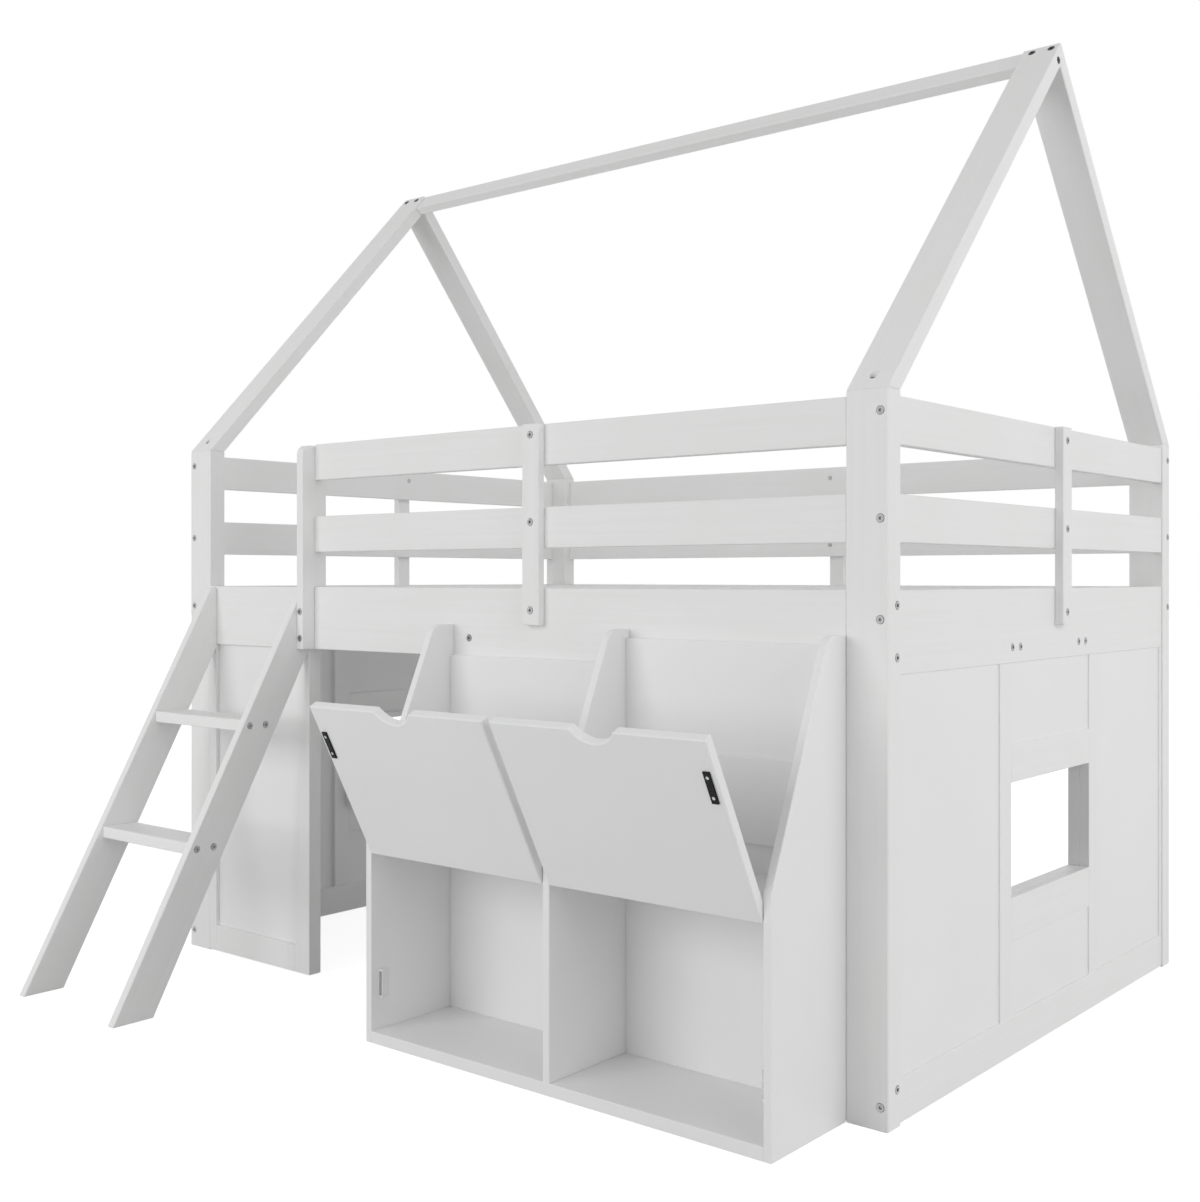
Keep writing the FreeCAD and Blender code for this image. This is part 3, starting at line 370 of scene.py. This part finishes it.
# %% A steel bar in each catch
BAR_WIDE, BAR_TALL, BAR_THICK = 0.008, 0.049, 0.002     # metres
BAR_OFF_MIDDLE = 0.0018     # the bar stands this far from the block's middle, off the cabinet side
BAR_PROUD = 0.00005         # all but flush: the strike plate stops 0.4 mm off the catch
catch_points = [v.co for v in boards["catches"].data.vertices]
between = sum(p.x for p in catch_points) / len(catch_points)
for side, sign in (("left", -1), ("right", 1)):
    block = [p for p in catch_points if (p.x - between) * sign > 0]
    low = Vector([min(p[axis] for p in block) for axis in range(3)])
    high = Vector([max(p[axis] for p in block) for axis in range(3)])
    spot = (low + high) / 2
    spot.x -= sign * BAR_OFF_MIDDLE
    spot.y = low.y - BAR_PROUD + BAR_THICK / 2
    mesh = bmesh.new()
    bmesh.ops.create_cube(mesh, size=1.0)
    bmesh.ops.scale(mesh, vec=(BAR_WIDE, BAR_THICK, BAR_TALL), verts=mesh.verts)
    bar_mesh = bpy.data.meshes.new("catch_bar")
    mesh.to_mesh(bar_mesh)
    mesh.free()
    bar = bpy.data.objects.new(f"catch_bar_{side}", bar_mesh)
    bar.matrix_world = Matrix.Translation(spot)
    bpy.context.scene.collection.objects.link(bar)
    bar.data.materials.append(zinc)
    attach(bar, "bed_frame")
    print(bar.name, [round(c, 4) for c in spot])

# %% [markdown]
# ## The camera
#
# The photograph was taken level, a little under a metre above the floor, from the front
# right. A level camera keeps uprights upright, and a small vertical shift puts the
# horizon above the middle of the frame instead of tilting the camera.

# %% Camera
FRAME_HIGH = 1202           # pixels; the sensor spans the longer side
SENSOR = 36                 # millimetres
FOCAL_PIXELS = 1454.79
HORIZON_ROW = 577.72
CAMERA_PLACE = (2.19624, -2.67144, 0.94338)
CAMERA_TURN = radians(39.61)
lens = bpy.data.cameras.new("camera")
lens.sensor_width = SENSOR
lens.lens = SENSOR * FOCAL_PIXELS / FRAME_HIGH
lens.shift_y = (HORIZON_ROW - FRAME_HIGH / 2) / FRAME_HIGH
camera = bpy.data.objects.new("camera", lens)
camera.location = CAMERA_PLACE
camera.rotation_euler = (pi / 2, 0, CAMERA_TURN)
bpy.context.scene.collection.objects.link(camera)
bpy.context.scene.camera = camera
print("focal length in mm:", round(lens.lens, 2))

# %% [markdown]
# ## A white room
#
# The bed stands in a white studio. Light Path tells a shader which kind of ray asks: the
# camera and reflections see a sky of full white, while the rays that light the bed get
# less, so that a white background doesn't wash out a white bed.


# %% Sky
def white_to_the_eye(tree):
    """1 for camera, glossy and transmission rays, 0 for the rays that light the bed."""
    path = add(tree, "ShaderNodeLightPath")
    seen = path.outputs["Is Camera Ray"]
    for kind in ("Is Glossy Ray", "Is Transmission Ray"):
        either = add(tree, "ShaderNodeMath", operation="MAXIMUM")
        tree.links.new(seen, either.inputs[0])
        tree.links.new(path.outputs[kind], either.inputs[1])
        seen = either.outputs["Value"]
    return seen


WHITE = (1, 1, 1, 1)
SKY_LIGHT = 0.37
world = bpy.data.worlds.new("studio")
bpy.context.scene.world = world
world.use_nodes = True
sky = world.node_tree
sky.nodes.clear()
level = add(sky, "ShaderNodeMapRange", {"Value": white_to_the_eye(sky)},
            to_min=SKY_LIGHT, to_max=1.0)
glow = add(sky, "ShaderNodeBackground", {"Strength": level.outputs["Result"]}, color=WHITE)
add(sky, "ShaderNodeOutputWorld", {"Surface": glow.outputs["Background"]})
bpy.context.scene.view_settings.view_transform = "Standard"
print("sky lights the bed at", SKY_LIGHT)

# %% [markdown]
# ## The floor
#
# The floor is a sheet of pale grey paper. A floor painted pure white would throw too much
# light up at the bed, so it is lifted towards white for the camera and for reflections
# only. Near the bed the lift stops short of white, so the bed's soft shadow stays on it;
# farther out it rises to full white, and no edge shows between floor and sky.

# %% Floor
FLOOR_HALF = 30             # metres from the bed to the edge of the paper
FLOOR_GREY = "#C2C2C2"
FLOOR_LIFT = 0.79           # how much white the camera sees before any light falls on it
SWEEP_START, SWEEP_END = 3.0, 9.0   # the lift rises to full white between these, in metres
corners = [(-1, -1), (1, -1), (1, 1), (-1, 1)]
floor_mesh = bpy.data.meshes.new("floor")
floor_mesh.from_pydata([(FLOOR_HALF * x, FLOOR_HALF * y, 0) for x, y in corners],
                       [], [(0, 1, 2, 3)])
floor = bpy.data.objects.new("floor", floor_mesh)
bpy.context.scene.collection.objects.link(floor)
paper = bpy.data.materials.new("floor_paper")
paper.use_nodes = True
sheet = paper.node_tree
sheet.nodes.clear()
matt = add(sheet, "ShaderNodeBsdfDiffuse", color=paint_chip(FLOOR_GREY))
here = add(sheet, "ShaderNodeTexCoord").outputs["Object"]
away = add(sheet, "ShaderNodeVectorMath", {"Vector": here}, operation="LENGTH")
sweep = add(sheet, "ShaderNodeMapRange", {"Value": away.outputs["Value"]},
            from_min=SWEEP_START, from_max=SWEEP_END, to_min=FLOOR_LIFT, to_max=1.0)
lift = add(sheet, "ShaderNodeMapRange",
           {"Value": white_to_the_eye(sheet), "To Max": sweep.outputs["Result"]}, to_min=0.0)
lifted = add(sheet, "ShaderNodeEmission", {"Strength": lift.outputs["Result"]}, color=WHITE)
lit_and_lifted = add(sheet, "ShaderNodeAddShader")
sheet.links.new(matt.outputs["BSDF"], lit_and_lifted.inputs[0])
sheet.links.new(lifted.outputs["Emission"], lit_and_lifted.inputs[1])
add(sheet, "ShaderNodeOutputMaterial", {"Surface": lit_and_lifted.outputs["Shader"]})
floor.data.materials.append(paper)
print("floor paper:", FLOOR_GREY, "lifted by", FLOOR_LIFT)

# %% [markdown]
# ## The lamps
#
# The main light is a softbox at the front left, as the shaded face of the near post beside
# the cabinet shows. A wide wall of light on the right keeps the end of the bed as pale as
# the front, and a third softbox behind gives the back its share. The paint and the bolts
# mirror the white room rather than the lamps, so that no hot spots show on them.

# %% Softboxes
BED_MIDDLE = Vector((0, 0, 0.9))
SOFTBOXES = {                # place, width and height in metres, watts
    "main_front_left": ((-1.4, -5.6, 2.0), (4.0, 3.2), 121),
    "right_wall": ((6.0, 0.0, 2.5), (8.0, 5.0), 170),
    "back_left": ((-3.4, 5.4, 2.6), (4.0, 3.0), 120),
}
for name, (place, (wide, high), watts) in SOFTBOXES.items():
    box = bpy.data.lights.new(name, "AREA")
    box.shape = "RECTANGLE"
    box.size = wide
    box.size_y = high
    box.energy = watts
    lamp = bpy.data.objects.new(name, box)
    lamp.location = place
    lamp.rotation_euler = (BED_MIDDLE - Vector(place)).to_track_quat("-Z", "Y").to_euler()
    lamp.visible_camera = False
    lamp.visible_glossy = False
    bpy.context.scene.collection.objects.link(lamp)
print("softboxes:", sorted(SOFTBOXES))
